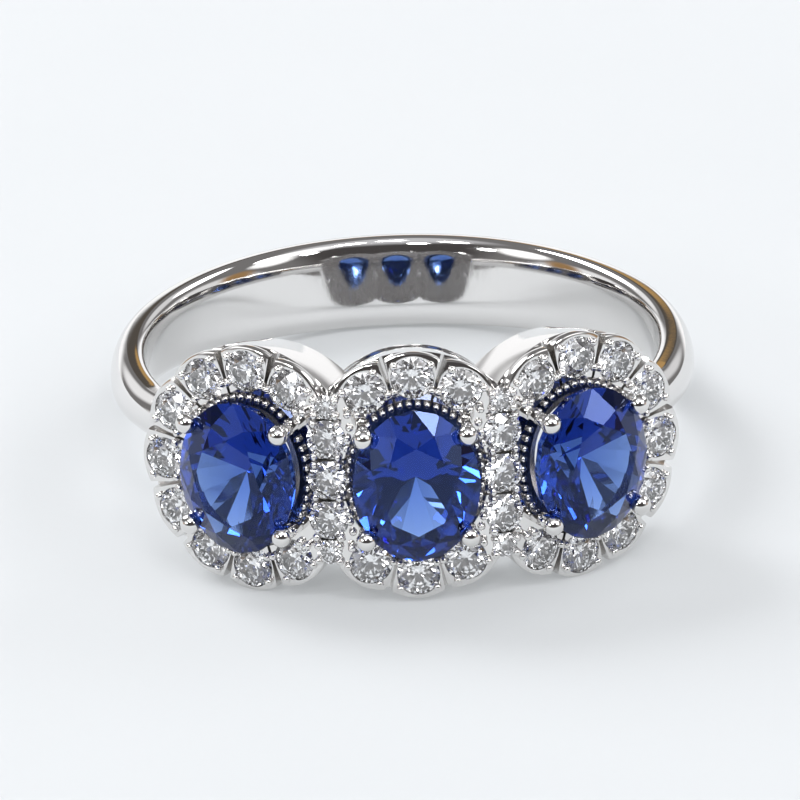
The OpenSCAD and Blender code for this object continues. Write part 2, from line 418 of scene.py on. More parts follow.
# %% [markdown]
# ## The shank
# The band is wide and thin at the back, where the palm is, and narrow where it runs under the outer
# settings. Its inside is nearly flat and its outside softly rounded, and at the back it leans a few
# degrees. An outline swept along a curve would keep one shape, and this one changes all the way. But
# it changes by one rule, so Geometry Nodes make it: a straight tube of radius 1 gives the faces, and
# each of its points moves to the place that the rule gives it. The tree works in millimetres on the
# upright ring.

# %% Tree of the shank: the inputs and the tube
band, given, made = new_tree("GeometryNodeTree", "shank_band", [
    (*GEOMETRY, None),
    ("Reach", "NodeSocketFloat", 2.0),
    ("Finger radius", "NodeSocketFloat", 8.5),
    ("Thickness", "NodeSocketFloat", 1.2),
    ("Palm width", "NodeSocketFloat", 3.2),
    ("Shoulder width", "NodeSocketFloat", 1.5),
    ("Shoulder angle", "NodeSocketFloat", 2.0),
    ("Back lean", "NodeSocketFloat", 0.1),
    ("Square inside", "NodeSocketFloat", 4.4),
    ("Square outside", "NodeSocketFloat", 2.0),
    ("Sides", "NodeSocketInt", 96),
    ("Steps", "NodeSocketInt", 180),
    ("Finish", "NodeSocketMaterial", None),
], [GEOMETRY])
tube = add(band, "GeometryNodeMeshCylinder", {"Radius": 1.0, "Depth": 1.0}, fill_type="NGON")
at = add(band, "ShaderNodeSeparateXYZ")
wire(
    band,
    (given.outputs["Sides"], tube.inputs["Vertices"]),
    (given.outputs["Steps"], tube.inputs["Side Segments"]),
    (add(band, "GeometryNodeInputPosition").outputs[0], at.inputs[0]),
)
print("inputs of the shank:", [s.name for s in given.outputs if s.name])

# %% Tree of the shank: the rule
size = given.outputs
angle = calc(band, "MULTIPLY", calc(band, "MULTIPLY", at.outputs["Z"], 2.0), size["Reach"])
# the width is drawn in from the palm to the shoulders, and stays as it is past them
turned = calc(band, "SUBTRACT", 1.0, calc(band, "COSINE", angle))
full_turn = calc(band, "SUBTRACT", 1.0, calc(band, "COSINE", size["Shoulder angle"]))
drawn = calc(band, "MINIMUM", 1.0, calc(band, "DIVIDE", turned, full_turn))
loss = calc(band, "SUBTRACT", size["Shoulder width"], size["Palm width"])
width = calc(band, "ADD", size["Palm width"], calc(band, "MULTIPLY", loss, drawn))
# the section is a superellipse: squarer on the finger's side than outside
inner = calc(band, "LESS_THAN", at.outputs["X"], 0.0)
gain = calc(band, "SUBTRACT", size["Square inside"], size["Square outside"])
square = calc(band, "ADD", size["Square outside"], calc(band, "MULTIPLY", inner, gain))
power = calc(band, "DIVIDE", 2.0, square)


def softened(v):
    raised = calc(band, "POWER", calc(band, "ABSOLUTE", v), power)
    return calc(band, "MULTIPLY", calc(band, "SIGN", v), raised)


thick = calc(band, "MULTIPLY", softened(at.outputs["X"]), calc(band, "DIVIDE", size["Thickness"], 2.0))
wide = calc(band, "MULTIPLY", softened(at.outputs["Y"]), calc(band, "DIVIDE", width, 2.0))
print("nodes so far:", len(band.nodes))

# %% Tree of the shank: lean, bend and finish
QUARTER_TURN = math.pi / 2
LEAN_FADE = 0.7
bounded = calc(band, "MINIMUM", calc(band, "ABSOLUTE", angle), QUARTER_TURN)
fade = calc(band, "POWER", calc(band, "MAXIMUM", 0.0, calc(band, "COSINE", bounded)), LEAN_FADE)
lean = calc(band, "MULTIPLY", size["Back lean"], fade)
cos_lean, sin_lean = calc(band, "COSINE", lean), calc(band, "SINE", lean)
leaned_r = calc(
    band, "ADD", calc(band, "MULTIPLY", thick, cos_lean), calc(band, "MULTIPLY", wide, sin_lean))
leaned_z = calc(
    band, "SUBTRACT", calc(band, "MULTIPLY", wide, cos_lean), calc(band, "MULTIPLY", thick, sin_lean))
middle_r = calc(band, "ADD", size["Finger radius"], calc(band, "DIVIDE", size["Thickness"], 2.0))
bent_r = calc(band, "ADD", leaned_r, middle_r)
goal = add(band, "ShaderNodeCombineXYZ")
move = add(band, "GeometryNodeSetPosition")
real = add(band, "GeometryNodeRealizeInstances")
finish = add(band, "GeometryNodeSetMaterial")
wire(
    band,
    (calc(band, "MULTIPLY", bent_r, calc(band, "SINE", angle)), goal.inputs["X"]),
    (calc(band, "MULTIPLY", bent_r, calc(band, "COSINE", angle)), goal.inputs["Y"]),
    (leaned_z, goal.inputs["Z"]),
    (tube.outputs["Mesh"], move.inputs["Geometry"]),
    (goal.outputs[0], move.inputs["Position"]),
    (move.outputs[0], real.inputs[0]),
    (real.outputs[0], finish.inputs["Geometry"]),
    (given.outputs["Finish"], finish.inputs["Material"]),
    (finish.outputs[0], made.inputs[0]),
)
print("nodes of the shank:", len(band.nodes))

# %% Grow the shank
UNDER_SETTING = 12
SHANK_REACH = 180 - PITCH - UNDER_SETTING
upright = grown("shank_upright", band, [], {
    "Reach": math.radians(SHANK_REACH), "Finger radius": FINGER_R, "Thickness": SHANK_T,
    "Palm width": BACK_W, "Shoulder width": SHOULDER_W, "Shoulder angle": math.radians(112),
    "Back lean": math.radians(6.0), "Square inside": 4.4, "Square outside": 2.0,
    "Sides": 96, "Steps": 180, "Finish": polished_gold})
bm = bmesh.new()
bm.from_mesh(upright.data)
bm.transform(LAY)
for face in bm.faces:
    face.material_index = POLISHED
bpy.data.objects.remove(upright)
shank = piece_from(bm, "shank", smooth_below=60)
shank.data.materials.append(polished_gold)
print("shank:", len(shank.data.polygons), "faces")


# %% [markdown]
# ## Where the diamonds sit
# Each halo is an oval row of stones. Where two settings meet they share one straight row, the ridge,
# whose stones are a little smaller, with one still smaller stone at each end. One list holds each
# stone's place, its width and its way out of the halo, and the seats, the beads and the slots all
# follow that list.

# %% List of diamonds
def halo_point(t):
    """The point at angle t of the halo's oval, in its setting, and the way out of the oval there."""
    way = Vector((math.sin(t) / HALO_A, math.cos(t) / HALO_B)).normalized()
    return HALO_A * math.sin(t), HALO_B * math.cos(t), way


ROOM = 0.05
OUTER_ANGLES = range(-30, 211, 30)
MIDDLE_ANGLES = (-30, 0, 30, 150, 180, 210)
diamonds = []
for k in SETTINGS:
    for t in OUTER_ANGLES if k else MIDDLE_ANGLES:
        x, y, way = halo_point(math.radians(t if k >= 0 else -t))
        diamonds.append({"turn": k * PITCH, "x": x, "y": y, "r": DIAMOND_R,
                         "d": DIAMOND_D, "out": way})
ridge_r = DIAMOND_R / math.cos(math.radians(PITCH / 2))
ridge_y = (DIAMOND_D + RIDGE_D) / 2 + ROOM
end_y = ridge_y + (RIDGE_D + END_D) / 2 + ROOM
for d, spots in ((RIDGE_D, (-ridge_y, 0, ridge_y)), (END_D, (-end_y, end_y))):
    for side in (-1, 1):
        for y in spots:
            way = Vector((1, 0)) if d == RIDGE_D else Vector((0, math.copysign(1, y)))
            diamonds.append({"turn": side * PITCH / 2, "x": 0, "y": y, "r": ridge_r,
                             "d": d, "out": way})
print("diamonds:", len(diamonds))

# %% [markdown]
# ## The three settings
# Each setting is an oval cup with a flat top, a rolled rim and a well that is open to the finger, so
# that light reaches the sapphire from behind. A groove under the rim marks the halo off from the wall.
# We draw the outline once, run it round the oval, and cut it by the plane half way to its neighbour.
# The cut cups meet edge to edge and are merged, as the caster's wax model was. A boolean union would
# do the same, but it leaves a ragged seam where the cups touch.

# %% Outline of a cup
# the outside: how far in from the rim's oval, and how far from the middle of the finger
WALL = [(0.62, FINGER_R - 0.6), (0.55, FINGER_R - 0.1), (0.44, FINGER_R + 0.4), (0.31, FINGER_R + 0.9),
        (0.19, FINGER_R + 1.4), (0.11, DIAMOND_R - 0.55), (0.09, DIAMOND_R - 0.42)]
GROOVE = [(0.10, DIAMOND_R - 0.40), (0.19, DIAMOND_R - 0.38),
          (0.19, DIAMOND_R - 0.32), (0.08, DIAMOND_R - 0.30)]
RIM = [(0.03, DIAMOND_R - 0.27), (0.0, DIAMOND_R - 0.2), (0.0, DIAMOND_R),
       (0.02, DIAMOND_R + 0.04), (0.06, DIAMOND_R + 0.06)]
# the well: half width round the ring, half width along the finger, distance from the finger's middle
WELL = [(WELL_A + 0.11, WELL_B + 0.11, DIAMOND_R + 0.06),
        (WELL_A + 0.02, WELL_B + 0.02, DIAMOND_R - 0.03),
        (1.72, 2.10, DIAMOND_R - 0.10), (1.5, 1.86, DIAMOND_R - 0.30),
        (1.34, 1.70, DIAMOND_R - 0.42), (1.34, 1.70, DIAMOND_R - 0.50),
        (1.5, 1.95, DIAMOND_R - 0.9), (1.5, 1.95, FINGER_R + 0.5), (1.5, 1.95, FINGER_R - 0.6)]
OUTSIDE = WALL + GROOVE + RIM
FIRST_SCALLOPED = len(WALL + GROOVE) - 1
CUP_SIDES = 288
print("rings of points in a cup:", len(OUTSIDE) + len(WELL))


# %% Cups
def scalloped(t, depth=0.2):
    """How far the rim draws in at angle t: nothing at a stone, the full depth between two."""
    return depth * (1 - abs(math.cos(6 * t)) ** 0.7)


def cup_mesh(turn, cuts):
    """One cup, cut on the sides that meet a neighbour: -1, 1 or both."""
    bm = bmesh.new()
    m = LAY @ on_face(turn)
    angles = [2 * math.pi * i / CUP_SIDES for i in range(CUP_SIDES)]
    loops = []
    for level, (inset, r) in enumerate(OUTSIDE):
        loop = []
        for t in angles:
            depth = inset + (scalloped(t) if level >= FIRST_SCALLOPED else 0)
            loop.append(m @ Vector(((RIM_A - depth) * math.sin(t), (RIM_B - depth) * math.cos(t), r)))
        loops.append(loop)
    for a, b, r in WELL:
        loops.append([m @ Vector((a * math.sin(t), b * math.cos(t), r)) for t in angles])
    bridge_rings(bm, loops, capped=False)
    bm.faces.ensure_lookup_table()
    # the well's walls take the satin, with its painted shade
    for face in bm.faces[len(OUTSIDE) * CUP_SIDES:-CUP_SIDES]:
        face.material_index = SATIN_SHADED
    for side in cuts:
        f = math.radians(turn + side * PITCH / 2)
        away = Vector((math.cos(f), math.sin(f), 0)) * side
        spot, way = LAY @ Vector((0, 0, 0)), (LAY.to_3x3() @ away).normalized()
        every = bm.verts[:] + bm.edges[:] + bm.faces[:]
        bmesh.ops.bisect_plane(bm, geom=every, dist=1e-9, plane_co=spot, plane_no=way, clear_outer=True)
    return bm


print("the rim draws in by up to", round(scalloped(math.pi / 12), 2), "mm")


# %% Merge the cups
def merged(parts, gap=2e-6):
    """All parts in one bmesh, with points closer than the gap made one."""
    whole = bmesh.new()
    for part in parts:
        mesh = bpy.data.meshes.new("part")
        part.to_mesh(mesh)
        part.free()
        whole.from_mesh(mesh)
        bpy.data.meshes.remove(mesh)
    bmesh.ops.remove_doubles(whole, verts=whole.verts, dist=gap)
    print("edges left open:", sum(len(e.link_faces) != 2 for e in whole.edges))
    return whole


def give_metals(piece):
    for metal in METALS:
        piece.data.materials.append(metal)


three_cups = [cup_mesh(-PITCH, (1,)), cup_mesh(0, (-1, 1)), cup_mesh(PITCH, (-1,))]
cups = piece_from(merged(three_cups), "settings")
give_metals(cups)
print("settings:", len(cups.data.polygons), "faces")


# %% [markdown]
# ## Seats and slots
# A setter drills a cone for each diamond, with a fine hole through to the finger, and then saws a slot
# between neighbours, which makes the halo sparkle as separate stones. We do the same with boolean
# cuts. There are three cutters: one for the finger, one for all seats and one for all slots. They cut
# one after another, and the faces that they leave take the cutter's finish.

# %% Cutters for the finger and the seats
def turned_cutter(bm, m, outline, sides, finish=CUT):
    """Adds a round cutter; the outline gives its radius and height from the bottom up."""
    rows = []
    old = len(bm.faces)
    for radius, z in outline:
        spins = [2 * math.pi * i / sides for i in range(sides)]
        rows.append([m @ Vector((radius * math.cos(s), radius * math.sin(s), z)) for s in spins])
    bridge_rings(bm, rows)
    bm.faces.ensure_lookup_table()
    for face in bm.faces[old:]:
        face.material_index = finish


SEAT_ROOM = 0.015
seat_cutter = bmesh.new()
for s in diamonds:
    m = LAY @ on_face(s["turn"]) @ Matrix.Translation((s["x"], s["y"], s["r"]))
    w = s["d"] / 2 + SEAT_ROOM
    hole = [(0.17 * s["d"], FINGER_R - 0.5 - s["r"]), (0.15 * s["d"], -1.1),
            (0.10 * s["d"], -0.42 * s["d"])]
    if s["d"] == END_D:
        hole = [(0.06, -0.46 * s["d"])]
    turned_cutter(seat_cutter, m, hole + [(w, -0.02), (w, 0.08), (w + 0.05, 0.35)], sides=40)
seat_cutter = piece_from(seat_cutter, "seat_cutter")

# a hair smaller than the finger, so that its face doesn't fall on the end of the shank
HAIR = 0.01
finger_cutter = bmesh.new()
drill = [(FINGER_R - HAIR, -7.0), (FINGER_R - HAIR, 7.0)]
# the finger's face takes the satin, with its painted shade
turned_cutter(finger_cutter, LAY, drill, sides=360, finish=SATIN_SHADED)
finger_cutter = piece_from(finger_cutter, "finger_cutter")
print("faces of the cutters:", len(seat_cutter.data.polygons), len(finger_cutter.data.polygons))

# %% Cutter for the slots
SLOT_ANGLES = range(-15, 196, 30)
slots = [(k, math.radians(t if k >= 0 else -t))
         for k in SETTINGS for t in SLOT_ANGLES if k or not 30 < t < 150]
slot_cutter = bmesh.new()
for k, t in slots:
    x, y, way = halo_point(t)
    spin = Matrix.Rotation(math.atan2(-way.x, way.y), 4, "Z")
    m = LAY @ on_face(k * PITCH) @ Matrix.Translation((x, y, DIAMOND_R)) @ spin
    rows = []
    for z, inner, outer in ((-0.45, 0.02, 0.06), (-0.25, 0.035, 0.12), (0.3, 0.05, 0.2)):
        waist = inner * 1.4
        blade = ((-inner, -0.9), (inner, -0.9), (waist, 0), (outer, 1.0), (-outer, 1.0), (-waist, 0))
        rows.append([m @ Vector((*p, z)) for p in blade])
    bridge_rings(slot_cutter, rows)
ridge_end = ridge_y + RIDGE_D / 2 + 0.01
for side in (-1, 1):
    for y in (-ridge_end, -ridge_y / 2, ridge_y / 2, ridge_end):
        m = LAY @ on_face(side * PITCH / 2) @ Matrix.Translation((0, y, ridge_r))
        reach = 0.8 if abs(y) < ridge_y else 0.5
        rows = []
        for z, half in ((-0.45, 0.02), (-0.3, 0.03), (0.4, 0.05)):
            blade = ((-reach, -half), (reach, -half), (reach, half), (-reach, half))
            rows.append([m @ Vector((*p, z)) for p in blade])
        bridge_rings(slot_cutter, rows)
for face in slot_cutter.faces:
    face.material_index = CUT
slot_cutter = piece_from(slot_cutter, "slot_cutter")
print("slots between stones:", len(slots), "in the halos and 8 on the ridges")


# %% Cut the finger, the seats and the slots
def cut(piece, cutter):
    """The piece without what the cutter fills; the cutter goes."""
    mod = piece.modifiers.new("cut", "BOOLEAN")
    mod.operation = "DIFFERENCE"
    mod.solver = "EXACT"
    mod.object = cutter
    out = baked(piece, piece.name)
    bpy.data.objects.remove(cutter)
    return out


for cutter in (finger_cutter, seat_cutter, slot_cutter):
    give_metals(cutter)
    cups = cut(cups, cutter)
cups.data.set_sharp_from_angle(angle=math.radians(28))
counts = [sum(f.material_index == i for f in cups.data.polygons) for i in (POLISHED, CUT, SATIN_SHADED)]
print("faces polished, cut and satin:", counts)


# %% [markdown]
# ## Beads and claws with Geometry Nodes
# Beads and claws are the same form many times over: a round ball on a short stem. Copies set by hand
# would all have to be mended when one size changes. Geometry Nodes put one such form on every point of
# a list instead. The tree has named inputs for its sizes, so one tree serves for the small beads, for
# the fine ones and for the large claws. There are hundreds of beads, so they get few sides.

# %% Tree for balls on stems: one ball on its stem
def facing_rotation(tree):
    """A node whose rotation turns +Z to the point's own 'outward' vector."""
    named = add(tree, "GeometryNodeInputNamedAttribute", {"Name": "outward"}, data_type="FLOAT_VECTOR")
    turn = add(tree, "FunctionNodeAlignRotationToVector", axis="Z")
    wire(tree, (named.outputs["Attribute"], turn.inputs["Vector"]))
    return turn


balls, given, made = new_tree("GeometryNodeTree", "balls_on_stems", [
    (*GEOMETRY, None),
    ("Ball width", "NodeSocketFloat", 0.0003),
    ("Stem share", "NodeSocketFloat", 0.86),
    ("Stem length", "NodeSocketFloat", 0.0004),
    ("Flatten", "NodeSocketFloat", 1.0),
    ("Sides", "NodeSocketInt", 12),
    ("Rings", "NodeSocketInt", 7),
    ("Finish", "NodeSocketMaterial", None),
], [GEOMETRY])
radius = calc(balls, "MULTIPLY", given.outputs["Ball width"], 0.5)
ball = add(balls, "GeometryNodeMeshUVSphere")
squash = add(balls, "ShaderNodeCombineXYZ", {"X": 1.0, "Y": 1.0})
flat = add(balls, "GeometryNodeTransform")
stem = add(balls, "GeometryNodeMeshCylinder", fill_type="NGON")
lower = add(balls, "GeometryNodeTransform")
shift = add(balls, "ShaderNodeCombineXYZ")
wire(
    balls,
    (radius, ball.inputs["Radius"]),
    (given.outputs["Sides"], ball.inputs["Segments"]),
    (given.outputs["Rings"], ball.inputs["Rings"]),
    (ball.outputs["Mesh"], flat.inputs["Geometry"]),
    (given.outputs["Flatten"], squash.inputs["Z"]),
    (squash.outputs[0], flat.inputs["Scale"]),
    (given.outputs["Sides"], stem.inputs["Vertices"]),
    (calc(balls, "MULTIPLY", radius, given.outputs["Stem share"]), stem.inputs["Radius"]),
    (given.outputs["Stem length"], stem.inputs["Depth"]),
    (calc(balls, "MULTIPLY", given.outputs["Stem length"], -0.5), shift.inputs["Z"]),
    (stem.outputs["Mesh"], lower.inputs["Geometry"]),
    (shift.outputs[0], lower.inputs["Translation"]),
)
print("inputs of the balls:", [s.name for s in given.outputs if s.name])

# %% Tree for balls on stems: put them on the points
join = add(balls, "GeometryNodeJoinGeometry")
smooth = add(balls, "GeometryNodeSetShadeSmooth")
put = add(balls, "GeometryNodeInstanceOnPoints")
real = add(balls, "GeometryNodeRealizeInstances")
finish = add(balls, "GeometryNodeSetMaterial")
wire(
    balls,
    (flat.outputs[0], join.inputs[0]),
    (lower.outputs[0], join.inputs[0]),
    (join.outputs[0], smooth.inputs["Geometry"]),
    (given.outputs["Geometry"], put.inputs["Points"]),
    (smooth.outputs[0], put.inputs["Instance"]),
    (facing_rotation(balls).outputs["Rotation"], put.inputs["Rotation"]),
    (put.outputs[0], real.inputs[0]),
    (real.outputs[0], finish.inputs["Geometry"]),
    (given.outputs["Finish"], finish.inputs["Material"]),
    (finish.outputs[0], made.inputs[0]),
)
print("nodes of the balls:", len(balls.nodes))

# %% [markdown]
# ## Beads
# A setter raises four beads of metal round each diamond and presses them over its edge. More of them
# fill the folds where a ridge ends and the bare strips beside the middle sapphire. Finer beads line
# each well just outside its sapphire, as a millgrain edge does.

# %% Beads
ALONG, ASIDE = 0.42, 0.58
bead_places = []
for s in diamonds:
    side = Vector((-s["out"].y, s["out"].x))
    share = s["d"] / DIAMOND_D
    for o in (1, -1):
        for w in (1, -1):
            p = Vector((s["x"], s["y"])) + (s["out"] * ALONG * o + side * ASIDE * w) * share
            bead_places.append((laid(s["turn"], p.x, p.y, s["r"] + 0.15), out_of(s["turn"])))
FOLD_X, FOLD_Y = 0.72, end_y - 0.2
for turn in (-PITCH / 2, PITCH / 2):
    for x in (-FOLD_X, FOLD_X):
        for y in (-FOLD_Y, FOLD_Y):
            bead_places.append((laid(turn, x, y, ridge_r + 0.08), out_of(turn)))
for sx in (-1, 1):
    for sy in (-1, 1):
        for x, y in ((2.14, 1.06), (2.10, 1.40), (2.02, 1.74)):
            bead_places.append((laid(0, sx * x, sy * y, DIAMOND_R + 0.1), out_of(0)))
beads = grown("beads", balls, bead_places, {
    "Ball width": 0.27 * MM, "Stem share": 0.9, "Stem length": 0.35 * MM, "Flatten": 0.9,
    "Sides": 10, "Rings": 6, "Finish": polished_gold})

# %% Fine beads round each sapphire
FINE_COUNT, FINE_START = 46, 4
FINE_A, FINE_B = 2.10, 2.43
fine_places = []
for k in SETTINGS:
    for i in range(FINE_COUNT):
        t = math.radians(360 * i / FINE_COUNT + FINE_START)
        place = laid(k * PITCH, FINE_A * math.sin(t), FINE_B * math.cos(t), DIAMOND_R + 0.1)
        fine_places.append((place, out_of(k * PITCH)))
fine_beads = grown("fine_beads", balls, fine_places, {
    "Ball width": 0.23 * MM, "Stem share": 0.9, "Stem length": 0.3 * MM, "Flatten": 0.95,
    "Sides": 8, "Rings": 5, "Finish": polished_gold})

# %% [markdown]
# ## Claws
# Four claws hold each sapphire. Their ends are filed round and look like small balls. The same tree
# makes them, with a longer stem and more sides, because they are seen from close by.

# %% Claws
claw_places = []
for k in SETTINGS:
    for sx in (-1, 1):
        for sy in (-1, 1):
            claw_places.append((laid(k * PITCH, sx * CLAW_X, sy * CLAW_Y, CLAW_R), out_of(k * PITCH)))
claws = grown("claws", balls, claw_places, {
    "Ball width": 0.67 * MM, "Stem share": 0.66, "Stem length": 1.4 * MM, "Flatten": 0.94,
    "Sides": 24, "Rings": 14, "Finish": polished_gold})


# %% [markdown]
# ## Cutting a stone
# A cutter grinds one flat facet after another on a round blank. A list of corners could give the same
# stone, but it is hard to check. So we do what the cutter does: we start with a drum and slice it by
# one plane per facet. The drum's edge that is left over is the girdle, with the scalloped line that
# real stones show. The facets of an oval stone are those of a round one, stretched. All of this is
# drawn for a stone of radius 1.

# %% Planes of the crown
def plane_through(a, b, c):
    """A plane as a point and a way out, through three points."""
    n = (b - a).cross(c - a).normalized()
    return (a, n if n.dot(a) > 0 else -n)


def polar(r, angle, z):
    return Vector((r * math.sin(math.radians(angle)), r * math.cos(math.radians(angle)), z))


HALF_FACET = 22.5
COS_HALF = math.cos(math.radians(HALF_FACET))


def crown_planes(table, crown, girdle):
    """Table, 8 mains, 8 stars and 16 upper girdle facets: table is its radius, crown its height."""
    g = girdle / 2
    planes = [(Vector((0, 0, g + crown)), Vector((0, 0, 1)))]
    main = crown / (1 - table)
    star_slope = 0.56 * main
    edge = table * COS_HALF
    # where a star, two mains and two upper girdle facets meet
    u = (1 / COS_HALF - edge - crown / star_slope) / (1 / (main * COS_HALF) - 1 / star_slope)
    star_r = (1 - u / main) / COS_HALF
    for i in range(8):
        a = 45 * i
        foot = polar(1, a, g)
        planes.append(plane_through(foot, polar(table, a, g + crown), foot + polar(1, a + 90, 0)))
        high = polar(edge, a + HALF_FACET, g + crown)
        low = polar(star_r, a + HALF_FACET, g + u)
        planes.append(plane_through(high, low, high + polar(1, a + 90 + HALF_FACET, 0)))
        for s in (-1, 1):
            beside = a + HALF_FACET * s
            planes.append(plane_through(foot, polar(1, beside, g), polar(star_r, beside, g + u)))
    return planes


print("planes of a crown:", len(crown_planes(0.56, 0.30, 0.05)))


# %% Planes of the pavilion
def brilliant_pavilion(girdle, depth, low=0.77, drop=0.0):
    """8 mains and 16 lower girdle facets, which start a drop below the girdle."""
    g, planes = girdle / 2 + drop, []
    for i in range(8):
        a = 45 * i
        point = Vector((0, 0, -g - depth))
        planes.append(plane_through(polar(1, a, -g), point, polar(1, a, -g) + polar(1, a + 90, 0)))
        for s in (-1, 1):
            foot = polar((1 - low) / COS_HALF, a + HALF_FACET * s, -g - depth * low)
            planes.append(plane_through(polar(1, a, -g), polar(1, a + HALF_FACET * s, -g), foot))
    return planes


def steep_ring(girdle, low, depth, facets=16):
    """Facets just below the girdle that reach radius low at that depth, so the stone is fuller."""
    g, planes = girdle / 2, []
    for i in range(facets):
        a = 360 / facets * (i + 0.5)
        top = polar(math.cos(math.radians(180 / facets)), a, -g)
        planes.append(plane_through(top, polar(low, a, -g - depth), top + polar(1, a + 90, 0)))
    return planes


print("planes of a pavilion:", len(brilliant_pavilion(0.05, 0.86)))
print("planes of a steep ring:", len(steep_ring(0.05, 0.93, 0.20)))

# %% The gem cutter
DRUM_LOW, DRUM_HIGH = -1.4, 0.7
GIRDLE = 0.05


def cut_stone(name, planes, girdle_sides):
    """The mesh of a stone of radius 1, cut from a drum by the planes."""
    bm = bmesh.new()
    turns = [360 * i / girdle_sides for i in range(girdle_sides)]
    bridge_rings(bm, [[polar(1, turn, z) for turn in turns] for z in (DRUM_LOW, DRUM_HIGH)])
    for spot, way in planes:
        every = bm.verts[:] + bm.edges[:] + bm.faces[:]
        bmesh.ops.bisect_plane(bm, geom=every, dist=1e-6, plane_co=spot, plane_no=way, clear_outer=True)
        rim = [e for e in bm.edges if len(e.link_faces) == 1]
        if len(rim) > 2:
            bmesh.ops.contextual_create(bm, geom=rim)
    bmesh.ops.recalc_face_normals(bm, faces=bm.faces)
    open_edges = sum(len(e.link_faces) != 2 for e in bm.edges)
    mesh = bpy.data.meshes.new(name)
    bm.to_mesh(mesh)
    bm.free()
    print(name, "has", len(mesh.polygons), "facets and", open_edges, "open edges")
    return mesh


round_planes = crown_planes(0.56, 0.30, GIRDLE) + brilliant_pavilion(GIRDLE, 0.86)
round_cut = cut_stone("round_brilliant", round_planes, 48)

# %% [markdown]
# ## Diamonds
# The 34 diamonds share one cut and differ in width, and no two are turned alike in their seats. So a
# second tree puts one pattern stone on every point, scales it to the point's own width and spins it by
# a random angle from a fixed seed.

# %% Tree for the diamonds
stones, given, made = new_tree("GeometryNodeTree", "stones_on_points", [
    (*GEOMETRY, None),
    ("Stone", "NodeSocketObject", None),
    ("Seed", "NodeSocketInt", 3),
    ("Finish", "NodeSocketMaterial", None),
], [GEOMETRY])
info = add(stones, "GeometryNodeObjectInfo")
width = add(stones, "GeometryNodeInputNamedAttribute", {"Name": "width"}, data_type="FLOAT")
spin = add(stones, "FunctionNodeRandomValue", {2: 0.0, 3: math.radians(45)}, data_type="FLOAT")
spin_z = add(stones, "ShaderNodeCombineXYZ")
as_turn = add(stones, "FunctionNodeEulerToRotation")
both_turns = add(stones, "FunctionNodeRotateRotation", rotation_space="LOCAL")
put = add(stones, "GeometryNodeInstanceOnPoints")
real = add(stones, "GeometryNodeRealizeInstances")
finish = add(stones, "GeometryNodeSetMaterial")
wire(
    stones,
    (given.outputs["Stone"], info.inputs["Object"]),
    (given.outputs["Seed"], spin.inputs["Seed"]),
    (spin.outputs[1], spin_z.inputs["Z"]),
    (spin_z.outputs[0], as_turn.inputs[0]),
    (facing_rotation(stones).outputs["Rotation"], both_turns.inputs[0]),
    (as_turn.outputs[0], both_turns.inputs[1]),
    (given.outputs["Geometry"], put.inputs["Points"]),
    (info.outputs["Geometry"], put.inputs["Instance"]),
    (both_turns.outputs[0], put.inputs["Rotation"]),
    (calc(stones, "MULTIPLY", width.outputs["Attribute"], 0.5), put.inputs["Scale"]),
    (put.outputs[0], real.inputs[0]),
    (real.outputs[0], finish.inputs["Geometry"]),
    (given.outputs["Finish"], finish.inputs["Material"]),
    (finish.outputs[0], made.inputs[0]),
)
print("inputs of the stones:", [s.name for s in given.outputs if s.name])

# %% Diamonds
pattern = linked("pattern_stone", round_cut)
stone_places = [(laid(s["turn"], s["x"], s["y"], s["r"]), out_of(s["turn"])) for s in diamonds]
halo_stones = grown("halo_diamonds", stones, stone_places,
                    {"Stone": pattern, "Seed": 3, "Finish": diamond_look},
                    {"width": [s["d"] * MM for s in diamonds]})
bpy.data.objects.remove(pattern)

# %% [markdown]
# ## Sapphires
# The three centre stones are cut as ovals: the round brilliant's facets, stretched along the finger.
# A ring of steep facets under the girdle makes the pavilion fuller, which keeps more of the blue. Each
# stone is a piece of its own.

# %% Sapphires
for k, name in zip(SETTINGS, ("sapphire_left", "sapphire_centre", "sapphire_right")):
    below = steep_ring(GIRDLE, low=0.93, depth=0.20) + brilliant_pavilion(GIRDLE, 0.90, drop=0.14)
    mesh = cut_stone(name + "_cut", crown_planes(0.58, 0.30, GIRDLE) + below, 72)
    oval = Matrix.Diagonal((SAPPHIRE_A, SAPPHIRE_B, SAPPHIRE_A, 1))
    mesh.transform(LAY @ on_face(k * PITCH, SAPPHIRE_R) @ oval)
    mesh.materials.append(sapphire_look)
    stone = linked(name + "_oval", mesh)
    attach(stone, "root")
    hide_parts(name)
print("sapphires:", len(SETTINGS))

# %% [markdown]
# ## Join the dressed ring to the imported one
# Every new piece rides on the ring's one body, and the CAD node that it stands for is hidden.

# %% Ride and hide the replaced CAD nodes
for piece in (shank, cups, beads, fine_beads, claws):
    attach(piece, "root")
    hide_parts("mount")
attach(halo_stones, "root")
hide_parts(*[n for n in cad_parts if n.startswith("diamond_")])

# %% [markdown]
# ## Floor
# The table is plain, pale and a little rough, like a sheet of paper. In a white room its own light
# comes back to it from the walls. Our room has dark walls, because the metal needs them, so the paper
# glows a little by itself. That keeps the shadows as soft and pale as in a real light tent.

